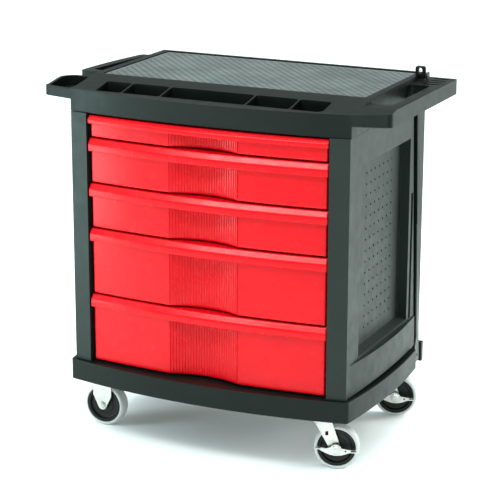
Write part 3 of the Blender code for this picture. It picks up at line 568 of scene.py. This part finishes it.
def deck_shell():
    front = bow((-DECK_HALF, DECK_FRONT), (DECK_HALF, DECK_FRONT), DECK_BOW, 48)
    deck = prism("deck_shell", front + [(DECK_HALF, DECK_REAR), (-DECK_HALF, DECK_REAR)], PANEL_TOP, DECK_LIP)
    for vert in deck.data.vertices:
        if vert.co.y < DECK_FRONT and vert.co.z < DECK_LIP - 0.001:
            vert.co.y = DECK_FRONT + (vert.co.y - DECK_FRONT) * APRON_BOW / DECK_BOW
    foot = DECK_LIP - 0.002
    section = [(RAMP_START, foot), (DECK_REAR, foot), (DECK_REAR, DECK_TOP), (RAMP_END, DECK_TOP),
               (RAMP_START, DECK_LIP)]
    join(deck, prism("platform", section, PLATFORM_LEFT, PLATFORM_RIGHT, "YZ"), right_handle(), left_handle(),
         cup_pocket())
    cut(deck, prism("grip", rounded((PLATFORM_RIGHT, -0.114), (0.388, 0.121), 0.012), HANDLE_LOW - 0.01,
                    DECK_TOP + 0.01))
    soften(deck, 0.0020, 3, 24.0, False)
    side, rear, below = DECK_HALF - 0.008, DECK_REAR - 0.008, PANEL_TOP - 0.01
    slots = [prism("slot", rounded((SLOT_LEFT, SLOT_FRONT + SLOT_PITCH * k),
                                   (SLOT_RIGHT, SLOT_REAR + SLOT_PITCH * k), 0.0038, 3),
                   HANDLE_LOW - 0.01, HANDLE_TOP + 0.01) for k in range(4)]
    cut(deck,
        block("hollow", (-side, DECK_FRONT + 0.008, below), (side, rear, 0.768)),
        block("hollow", (-side, -0.125, below), (side, rear, 0.816)),
        prism("mat_bed", rounded(*MAT_BED, 0.006), MAT_BED_FLOOR, DECK_TOP + 0.01),
        merged("pockets", [tray_pocket(index) for index in range(len(TRAY_EDGES) - 1)]),
        merged("slots", slots), bar_clearance(0.0012))
    soften(deck, 0.0010, 2, 50.0, False)
    return dress(deck, CHARCOAL, CART, ["top_deck"])


def work_mat():
    """A ribbed rubber mat: short raised bars in staggered, slightly skewed rows."""
    low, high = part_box("work_mat")
    step_x, step_y, radius = 0.0025, 0.0016, 0.006
    columns = round((high.x - low.x) / step_x)
    rows = round((high.y - low.y) / step_y)
    pitch_x, pitch_y = 0.021, 0.0115
    middle, half = (low + high) / 2, (high - low) / 2
    bm = bmesh.new()

    def pulled(x, y):
        """Corner points are pulled onto the mat's round corners."""
        dx = max(0.0, abs(x - middle.x) - (half.x - radius))
        dy = max(0.0, abs(y - middle.y) - (half.y - radius))
        reach = math.hypot(dx, dy)
        if dx and dy and reach > radius:
            x -= math.copysign(dx * (1 - radius / reach), x - middle.x)
            y -= math.copysign(dy * (1 - radius / reach), y - middle.y)
        return x, y

    def height(x, y):
        row = math.floor(y / pitch_y)
        across = (y / pitch_y - row - 0.5) * 2
        phase = x / pitch_x + 0.5 * (row % 2) + 0.10 * across
        lengthwise = (phase - math.floor(phase) - 0.5) * 2
        bar = max(0.0, 1 - (abs(lengthwise) / 0.86) ** 6) * max(0.0, 1 - (abs(across) / 0.80) ** 2)
        border = min(half.x - abs(x - middle.x), half.y - abs(y - middle.y))
        return high.z - MAT_RELIEF * (1 - bar) * min(1.0, max(0.0, (border - 0.003) / 0.003))

    top = []
    for j in range(rows + 1):
        y = low.y + (high.y - low.y) * j / rows
        line = []
        for i in range(columns + 1):
            x = low.x + (high.x - low.x) * i / columns
            px, py = pulled(x, y)
            line.append(bm.verts.new((px, py, height(x, y))))
        top.append(line)
    for j in range(rows):
        for i in range(columns):
            bm.faces.new((top[j][i], top[j][i + 1], top[j + 1][i + 1], top[j + 1][i]))
    rim = (top[0][:] + [top[j][-1] for j in range(1, rows + 1)] + top[-1][-2::-1]
           + [top[j][0] for j in range(rows - 1, 0, -1)])
    under = [bm.verts.new((v.co.x, v.co.y, low.z)) for v in rim]
    for k in range(len(rim)):
        bm.faces.new((rim[k - 1], under[k - 1], under[k], rim[k]))
    bm.faces.new(under)
    return dress(from_bmesh("mat_sheet", bm), MAT, CART, ["work_mat"], 50.0)


# ---------------------------------------------------------------- drawers
def drawer_front(number):
    """A bowed face with a rolled lip, and a ribbed finger scoop behind the lip's middle."""
    node = f"drawer_{number}_front"
    low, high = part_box(node)
    bottom, top, lip = low.z, high.z, LIPS[number - 1]
    end_round = 0.0035
    radius = (SCOOP_HALF ** 2 + SCOOP_DEEP ** 2) / (2 * SCOOP_DEEP)
    rib_pitch, rib_high = 2 * SCOOP_HALF / SCOOP_RIBS, 0.0020

    def rounding(x, half):
        over = max(0.0, abs(x) - (half - end_round)) / end_round
        return end_round * (1 - math.sqrt(max(0.0, 1 - over * over)))

    def lip_y(x):
        return LIP_EDGE - LIP_BOW * (1 - (x / LIP_HALF) ** 2)

    def face_y(x):
        return FACE_EDGE - FACE_BOW * (1 - (x / FACE_HALF) ** 2)

    def scoop_y(x):
        if abs(x) >= SCOOP_HALF:
            return -1.0
        return FACE_EDGE - FACE_BOW + math.sqrt(radius ** 2 - x ** 2) - (radius - SCOOP_DEEP)

    edge = SCOOP_HALF
    while scoop_y(edge) < face_y(edge):
        edge -= 0.0001

    def shell_y(x, ribs):
        if abs(x) <= edge:
            wave = max(0.0, math.cos(2 * math.pi * x / rib_pitch))
            return scoop_y(x) - ribs * rib_high * wave ** 0.6
        return face_y(x)

    tail = [0.0, 0.2, 0.4, 0.6, 0.8, 0.93, 1.0]
    flat = FACE_HALF - end_round
    outer = [edge + 0.0002 + (flat - edge) * share for share in (0, 0.1, 0.25, 0.4, 0.55, 0.7, 0.85)]
    outer += [flat + end_round * share for share in tail]
    per_rib = 8
    count = int(2 * edge / rib_pitch * per_rib)
    inner = [-edge + 2 * edge * i / count for i in range(count + 1)]
    xs = [-x for x in reversed(outer)] + inner + outer

    floor = top - lip
    rows = [
        ("lip", top, None, 0.0), ("lip", top, 0.0100, 0.0), ("lip", top - 0.0006, 0.0088, 0.0),
        ("lip", top - 0.0018, 0.0076, 0.0), ("lip", top - 0.20 * lip, 0.0052, 0.0),
        ("lip", top - 0.33 * lip, 0.0026, 0.0), ("lip", top - 0.40 * lip, 0.0012, 0.0),
        ("lip", top - 0.47 * lip, 0.0004, 0.0), ("lip", top - 0.56 * lip, 0.0, 0.0),
        ("lip", top - 0.72 * lip, 0.0, 0.0), ("lip", floor + 0.0026, 0.0001, 0.0),
        ("lip", floor + 0.0010, 0.0006, 0.0), ("lip", floor + 0.0002, 0.0016, 0.0),
        ("lip", floor, 0.0026, 0.0),
        ("face", floor - 0.0003, 0.0, 1.0), ("face", floor - 0.0030, 0.0, 1.0),
        ("face", floor + (bottom - floor) * 0.5, 0.0, 1.0), ("face", bottom + 0.0080, 0.0, 0.85),
        ("face", bottom + 0.0030, 0.0002, 0.3), ("face", bottom + 0.0010, 0.0010, 0.0),
        ("face", bottom, 0.0030, 0.0), ("face", bottom, None, 0.0),
    ]
    bm = bmesh.new()
    grid = []
    for x in xs:
        share = abs(x) / FACE_HALF
        line = []
        for kind, z, behind, ribs in rows:
            px = x * LIP_HALF / FACE_HALF if kind == "lip" else x
            if kind == "lip" and z > top - 0.3 * lip:
                px -= math.copysign(0.0015 * share ** 8, x)
            if behind is None:
                y = FRONT_BACK
            elif kind == "lip":
                y = min(FRONT_BACK - 0.0002, lip_y(px) + behind + rounding(px, LIP_HALF))
            else:
                y = min(FRONT_BACK - 0.0002, shell_y(x, ribs) + behind + rounding(x, FACE_HALF) * 0.7)
            line.append(bm.verts.new((px, y, z)))
        grid.append(line)
    crease = {index for index, x in enumerate(xs) if abs(abs(x) - edge) < 0.00001}
    for a, b in zip(grid, grid[1:]):
        for k in range(len(rows)):
            bm.faces.new((a[k - 1], a[k], b[k], b[k - 1]))
    bm.faces.new(grid[0])
    bm.faces.new(grid[-1])
    sharp = []
    for index in crease:
        for k in range(15, len(rows) - 2):
            sharp.append((grid[index][k - 1].co.copy(), grid[index][k].co.copy()))
    obj = from_bmesh(f"drawer_{number}_face", bm)
    dress(obj, RED, f"drawer_{number}", [node], 40.0)
    ends = {tuple(round(c, 6) for c in a + b) for a, b in sharp}
    for mesh_edge in obj.data.edges:
        a, b = (obj.data.vertices[i].co for i in mesh_edge.vertices)
        if tuple(round(c, 6) for c in a + b) in ends:
            mesh_edge.use_edge_sharp = True
    return obj


# ---------------------------------------------------------------- casters
def about_y():
    """Turns a piece made about Z so that it lies about Y."""
    return Matrix.Rotation(math.radians(90), 4, "X")


def rigid_place(which):
    return Matrix.Translation((RIGID_X, RIGID_Y[which], AXLE_Z))


def swivel_stem(which):
    """The swivel's upright axis at the floor, turned to the caster's heading."""
    return (Matrix.Translation((SWIVEL_X, SWIVEL_Y[which], 0.0))
            @ Matrix.Rotation(TRAIL_ANGLE, 4, "Z"))


def swivel_place(which):
    return swivel_stem(which) @ Matrix.Translation((TRAIL, 0.0, AXLE_Z))


def caster_places():
    """Each caster's name and the matrix of its wheel's centre and heading."""
    for which in ("front", "rear"):
        yield f"rigid_{which}", rigid_place(which)
        yield f"swivel_{which}", swivel_place(which)


def both_ways(profile):
    """A half profile, from the inside out over the top, is closed by its mirror image."""
    return profile + [(r, -z) for r, z in reversed(profile)]


def wheel(prefix, place):
    tyre = lathe(prefix + "_tread", both_ways([
        (0.0428, 0.0148), (0.0436, 0.0158), (0.0450, 0.0160), (0.0466, 0.0157), (0.0482, 0.0148),
        (0.0494, 0.0132), (0.0502, 0.0108), (0.0506, 0.0075), (0.0508, 0.0038), (0.0508, 0.0004)]))
    hub = lathe(prefix + "_centre", both_ways([
        (0.0056, 0.0168), (0.0100, 0.0170), (0.0112, 0.0164), (0.0118, 0.0110), (0.0126, 0.0100),
        (0.0210, 0.0096), (0.0216, 0.0108), (0.0228, 0.0108), (0.0234, 0.0094), (0.0320, 0.0088),
        (0.0336, 0.0096), (0.0350, 0.0136), (0.0362, 0.0152), (0.0400, 0.0154), (0.0404, 0.0146),
        (0.0408, 0.0154), (0.0422, 0.0152), (0.0426, 0.0144)]))
    for piece, material, slot, node in ((tyre, TYRE, "tyre", "_tyre"), (hub, HUB, "hub", "_hub")):
        moved(piece, place @ about_y())
        dress(piece, material, prefix + "_wheel", [prefix + node], 42.0)


def axle(prefix, place, body):
    """A bolt through the fork with a round washer under its hexagon head and nut."""
    shaft = lathe(prefix + "_bolt", both_ways([
        (0.0, 0.0272), (0.0030, 0.0272), (0.0036, 0.0266), (0.0036, 0.0222), (0.0050, 0.0218),
        (0.0050, 0.0004)]), 32)
    heads = []
    for sign in (1, -1):
        washer = lathe("washer", [(0.0052, 0.0218), (0.0090, 0.0218), (0.0094, 0.0222), (0.0090, 0.0228),
                                  (0.0052, 0.0228)], 32)
        nut = soften(hexagon("nut", 0.0125, 0.0229, 0.0262), 0.0005, 2)
        for part in (washer, nut):
            if sign < 0:
                moved(part, Matrix.Rotation(math.pi, 4, "X"))
            heads.append(part)
    bolt = merged(prefix + "_bolt", [shaft, *heads])
    moved(bolt, place @ about_y())
    return dress(bolt, ZINC, body, [prefix + "_axle"])


def rigid_fork(which):
    prefix = f"rigid_{which}"
    node = prefix + "_fork"
    low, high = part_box(node)
    plate_low = high.z - 0.003
    fork = block(prefix + "_yoke", (low.x, low.y, plate_low), high)
    rise = plate_low + 0.001 - AXLE_Z
    leg = ([(-0.024, rise), (-0.024, 0.024)] + corner((0.0, 0.0), 0.011, 205, 335, 12)
           + [(0.024, 0.024), (0.024, rise)])
    legs = [moved(prism("leg", leg, across - FORK_HALF_THICK, across + FORK_HALF_THICK, "XZ"),
                  rigid_place(which)) for across in (FORK_ACROSS, -FORK_ACROSS)]
    join(fork, *legs)
    soften(fork, 0.0009, 2)
    rivets = []
    for dx, dy in PLATE_BOLTS:
        head = lathe("rivet", [(0.0, -0.0032), (0.0032, -0.0030), (0.0044, -0.0018), (0.0046, 0.0002),
                               (0.0, 0.0002)], 24)
        rivets.append(moved(head, Matrix.Translation((RIGID_X + dx, RIGID_Y[which] + dy, plate_low))))
    join(fork, *rivets)
    return dress(fork, ZINC, CART, [node])


def swivel_top(which):
    """The mounting plate with its dished race and four bolt heads."""
    prefix = f"swivel_{which}"
    node = prefix + "_plate"
    low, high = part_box(node)
    plate_low = high.z - 0.003
    top = soften(block(prefix + "_mount", (low.x, low.y, plate_low), high), 0.0009, 2)
    centre = Matrix.Translation((SWIVEL_X, SWIVEL_Y[which], 0.0))
    race = lathe("race", [
        (0.0062, plate_low + 0.001), (0.0200, plate_low + 0.001), (0.0226, plate_low - 0.0016),
        (0.0240, 0.1275), (0.0236, 0.1256), (0.0210, 0.1243), (0.0062, 0.1243)], 48)
    heads = []
    for dx, dy in PLATE_BOLTS:
        head = soften(hexagon("bolt_head", 0.0100, plate_low - 0.0040, plate_low + 0.0002), 0.0005, 2)
        heads.append(moved(head, Matrix.Translation((SWIVEL_X + dx, SWIVEL_Y[which] + dy, 0.0))))
    join(top, moved(race, centre), *heads)
    return dress(top, ZINC, CART, [node])


def swivel_fork(which):
    prefix = f"swivel_{which}"
    crown_top, crown_low = 0.1235, 0.1075
    crown = lathe(prefix + "_yoke", [
        (0.0062, crown_top), (0.0230, crown_top), (0.0250, crown_top - 0.0010),
        (0.0260, crown_top - 0.0035), (0.0260, crown_low + 0.003), (0.0252, crown_low + 0.0008),
        (0.0240, crown_low), (0.0062, crown_low)], 48)
    moved(crown, swivel_stem(which))
    top = crown_top - 0.004 - AXLE_Z
    outline = [(-0.052, top), (-0.014, -0.002)] + corner((0.0, 0.0), 0.012, 215, 350, 12) + [(-0.012, top)]
    for across in (FORK_ACROSS, -FORK_ACROSS):
        leg = prism("leg", outline, across - FORK_HALF_THICK, across + FORK_HALF_THICK, "XZ")
        window = prism("window", rounded((-0.0245, 0.0305), (-0.0175, 0.0405), 0.0008, 2), across - 0.004,
                       across + 0.004, "XZ")
        cut(leg, window)
        join(crown, moved(leg, swivel_place(which)))
    soften(crown, 0.0008, 2, 40.0)
    return dress(crown, ZINC, prefix + "_yoke", [prefix + "_fork"])


def brake(which):
    """A winged rocker of pressed steel with a domed middle, a pivot bolt and a foot pad at each end."""
    prefix = f"swivel_{which}"
    near, reach = -0.0285, 0.044
    wing = ([(-reach, 0.004), (-0.026, -0.006)] + bow((-0.016, -0.010), (0.018, -0.010), 0.003, 8)
            + [(0.028, -0.006), (reach, -0.002), (reach, 0.001), (0.026, 0.002)]
            + corner((0.0, 0.0), 0.013, 20, 150, 10) + [(-0.022, 0.003), (-reach, 0.007)])
    pedal = prism(prefix + "_rocker", wing, near - 0.0022, near, "XZ")
    pads = [block("pad", (-reach - 0.001, near - 0.012, 0.0045), (-reach + 0.011, near - 0.001, 0.0065)),
            block("pad", (reach - 0.011, near - 0.012, -0.0012), (reach + 0.001, near - 0.001, 0.0008))]
    cut(pedal, prism("eye", corner((0.0215, -0.0020), 0.0021, 0, 330, 11), near - 0.01, near + 0.01, "XZ"))
    join(pedal, *pads)
    soften(pedal, 0.0006, 2, 40.0)
    dome = lathe("dome", [(0.0, 0.0), (0.0105, 0.0), (0.0098, 0.0012), (0.0070, 0.0020), (0.0, 0.0022)], 40)
    moved(dome, Matrix.Translation((0.0, near - 0.0020, 0.0)) @ about_y())
    nut = soften(hexagon("nut", 0.0090, 0.0, 0.0026), 0.0004, 2)
    moved(nut, Matrix.Translation((0.0, near - 0.0036, 0.0)) @ about_y())
    join(pedal, dome, nut)
    moved(pedal, swivel_place(which))
    return dress(pedal, ZINC, prefix + "_pedal", [prefix + "_brake"])


def casters():
    for prefix, place in caster_places():
        wheel(prefix, place)
        axle(prefix, place, frame_body(prefix + "_axle"))
    for which in ("front", "rear"):
        rigid_fork(which)
        swivel_top(which)
        swivel_fork(which)
        brake(which)


def frame_body(node):
    """The body that a CAD node belongs to."""
    for body, members in frame["record"]["behaviour"]["bodies"].items():
        if node in members:
            return body
    return CART


# ---------------------------------------------------------------- lock bar
def bar_frame():
    """Origin at the bar's lower end, +Z up along the bar, +X outward."""
    way = Vector((0.0, BAR_HIGH[0] - BAR_LOW[0], BAR_HIGH[1] - BAR_LOW[1]))
    lean = math.atan2(-way.y, way.z)
    return Matrix.Translation((BAR_X, *BAR_LOW)) @ Matrix.Rotation(lean, 4, "X"), way.length


def bar_clearance(clear):
    place, length = bar_frame()
    half, thick = 0.0075 + clear, 0.0015 + clear
    return moved(block("bar_clearance", (-thick, -half, length / 2), (thick, half, length + 0.06)), place)


def bar_channel(floor, ahead, behind):
    """A channel along the bar, open to the outside, with its floor at an x."""
    place, length = bar_frame()
    return moved(block("bar_channel", (floor - BAR_X, ahead, -0.02), (0.05, behind, length)), place)


def lock_bar():
    place, length = bar_frame()
    half, thick = 0.0075, 0.0015
    head_low = length + HASP_LOW - BAR_HIGH[1]
    head_top = length + HASP_HIGH - BAR_HIGH[1]
    foot_ahead, foot_behind, foot_high, neck = -0.018, 0.0085, 0.040, 0.062
    outline = (corner((foot_ahead + 0.004, 0.004), 0.004, 180, 270, 5)
               + corner((foot_behind - 0.004, 0.004), 0.004, 270, 360, 5)
               + [(foot_behind, foot_high), (half, neck), (half, head_low + 0.001), (-half, head_low + 0.001),
                  (-half, neck), (foot_ahead, foot_high)])
    strip = prism("lock_strip", outline, -thick, thick, "YZ")
    hole = prism("hole", corner((-0.005, 0.017), 0.0034, 0, 337.5, 15), -0.02, 0.02, "YZ")
    cut(strip, hole)
    soften(strip, 0.0005, 2, 40.0)
    moved(strip, place)
    dress(strip, STRIP, "lock_bar", ["lock_bar"])
    head = prism("hasp_head", rounded((HASP_OUT - 0.012, head_low), (HASP_OUT + 0.012, head_top), 0.006, 8),
                 -0.0035, 0.0035, "XZ")
    eye = prism("eye", rounded((HASP_OUT - 0.0042, head_top - 0.0165),
                               (HASP_OUT + 0.0042, head_top - 0.004), 0.004), -0.02, 0.02, "XZ")
    cut(head, eye)
    soften(head, 0.0010, 3, 40.0)
    moved(head, place)
    dress(head, BLACK_STEEL, "lock_bar")


def staple():
    low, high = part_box("hasp_staple")
    ear = prism("staple_ear", rounded((low.y, low.z), (high.y, high.z), 0.004, 6), low.x, high.x, "YZ")
    soften(ear, 0.0006, 2)
    return dress(ear, BLACK_STEEL, CART, ["hasp_staple"])


# ---------------------------------------------------------------- stage
def camera():
    data = bpy.data.cameras.new("camera")
    data.lens, data.sensor_width = 135.78, 36.0
    data.clip_start, data.clip_end = 0.1, 100.0
    obj = bpy.data.objects.new("camera", data)
    bpy.context.scene.collection.objects.link(obj)
    azimuth, elevation, roll = math.radians(25.0871), math.radians(15.9165), math.radians(0.2)
    obj.matrix_world = (Matrix.Translation((1.7625, -3.7475, 1.6088)) @ Matrix.Rotation(azimuth, 4, "Z")
                        @ Matrix.Rotation(math.pi / 2 - elevation, 4, "X") @ Matrix.Rotation(roll, 4, "Z"))
    bpy.context.scene.camera = obj


def softbox(name, place, aim, size, power, colour=(1.0, 1.0, 1.0)):
    data = bpy.data.lights.new(name, "AREA")
    data.color = colour
    data.shape = "RECTANGLE"
    data.size, data.size_y = size
    data.energy = power
    obj = bpy.data.objects.new(name, data)
    bpy.context.scene.collection.objects.link(obj)
    obj.location = place
    obj.rotation_mode = "QUATERNION"
    obj.rotation_quaternion = (Vector(aim) - Vector(place)).to_track_quat("-Z", "Y")


def floor_paper():
    """White paper with a faint cloudiness. A grey shade is painted on it in front of the cart's
    right-hand end, and the paper glows a little, to bring the floor nearer to the look wanted."""
    paper = Nodes("floor_paper", (0.9, 0.95, 0.93), 0.9, specular=0.1)
    clouds = paper.ramp(paper.noise(3.0), (0.86, 0.93, 0.91), (0.89, 0.94, 0.925))
    shade = paper.add("ShaderNodeMapping")
    shade.inputs["Location"].default_value = (-0.10, 1.20, 0.0)
    shade.inputs["Scale"].default_value = (0.44, 0.44, 0.0)
    ball = paper.add("ShaderNodeTexGradient", gradient_type="QUADRATIC_SPHERE")
    dark = paper.add("ShaderNodeMix", data_type="RGBA", blend_type="MULTIPLY")
    dark.inputs["B"].default_value = (0.28, 0.30, 0.30, 1.0)
    paper.join(paper.place, shade.inputs["Vector"])
    paper.join(shade.outputs["Vector"], ball.inputs["Vector"])
    paper.join(ball.outputs["Fac"], dark.inputs["Factor"])
    paper.join(clouds, dark.inputs["A"])
    paper.join(dark.outputs["Result"], paper.shader.inputs["Base Color"])
    paper.shader.inputs["Emission Color"].default_value = (0.93, 1.0, 0.98, 1.0)
    paper.shader.inputs["Emission Strength"].default_value = 0.07
    return paper.material


def sky():
    """A bright ceiling over a dim horizon; seen straight on it is white."""
    world = bpy.data.worlds.new("studio")
    bpy.context.scene.world = world
    world.use_nodes = True
    tree = world.node_tree
    tree.nodes.clear()
    way = tree.nodes.new("ShaderNodeTexCoord")
    split = tree.nodes.new("ShaderNodeSeparateXYZ")
    spread = tree.nodes.new("ShaderNodeMapRange")
    for socket, value in (("From Min", 0.60), ("From Max", 0.92), ("To Min", 0.42), ("To Max", 3.0)):
        spread.inputs[socket].default_value = value
    straight = tree.nodes.new("ShaderNodeLightPath")
    choose = tree.nodes.new("ShaderNodeMix")
    choose.inputs["B"].default_value = 1.05
    background = tree.nodes.new("ShaderNodeBackground")
    output = tree.nodes.new("ShaderNodeOutputWorld")
    tree.links.new(way.outputs["Generated"], split.inputs["Vector"])
    tree.links.new(split.outputs["Z"], spread.inputs["Value"])
    tree.links.new(straight.outputs["Is Camera Ray"], choose.inputs["Factor"])
    tree.links.new(spread.outputs["Result"], choose.inputs["A"])
    tree.links.new(choose.outputs["Result"], background.inputs["Strength"])
    tree.links.new(background.outputs["Background"], output.inputs["Surface"])
    background.inputs["Color"].default_value = (0.92, 1.0, 0.975, 1.0)


def studio():
    reach = 14.0
    floor = prism("floor", [(-reach, -reach), (reach, -reach), (reach, reach), (-reach, reach)], -0.02, 0.0)
    floor.data.materials.append(floor_paper())
    sky()
    softbox("left_softbox", (-1.35, -1.10, 0.60), (-0.30, -0.20, 0.45), (0.5, 1.1), 16, (0.80, 0.97, 1.0))
    softbox("key_softbox", (-1.10, -2.00, 2.80), (0.0, -0.20, 0.50), (0.5, 0.5), 22)
    softbox("low_softbox", (1.1, -2.7, 0.55), (0.0, 0.0, 0.0), (1.4, 0.6), 14)
    softbox("top_softbox", (-0.2, -1.35, 2.2), (-0.1, -0.60, 0.0), (0.8, 0.4), 18)
    softbox("right_softbox", (1.9, 1.2, 0.80), (0.3, 0.0, 0.70), (1.0, 0.4), 24)
    softbox("side_softbox", (1.3, 1.1, 1.3), (0.7, 0.6, 0.0), (0.6, 0.6), 14)
    bpy.context.scene.view_settings.view_transform = "Standard"


# ---------------------------------------------------------------- all of it
def carried_over():
    """The CAD nodes whose shape is right get their finish and rounded edges."""
    finishes = {"runner_rack_left": CHARCOAL, "runner_rack_right": CHARCOAL,
                "swivel_front_kingpin": ZINC, "swivel_rear_kingpin": ZINC}
    finishes.update({f"drawer_{n}_tray": RED_TUB for n in range(1, 6)})
    for name, material in finishes.items():
        obj = NODES[name]
        obj.data.materials.clear()
        obj.data.materials.append(material)
        weld = obj.modifiers.new("weld", "WELD")
        weld.merge_threshold = 0.00001
        flat = obj.modifiers.new("flat", "DECIMATE")
        flat.decimate_type = "DISSOLVE"
        flat.angle_limit = math.radians(0.1)
        if "kingpin" not in name:
            bevel = obj.modifiers.new("round", "BEVEL")
            bevel.width = 0.0007
            bevel.segments = 2
            bevel.limit_method = "ANGLE"


def main():
    camera()
    base_shell()
    side_panels()
    back_sheet()
    deck_shell()
    work_mat()
    for number in range(1, 6):
        drawer_front(number)
    casters()
    lock_bar()
    staple()
    carried_over()
    studio()


main()
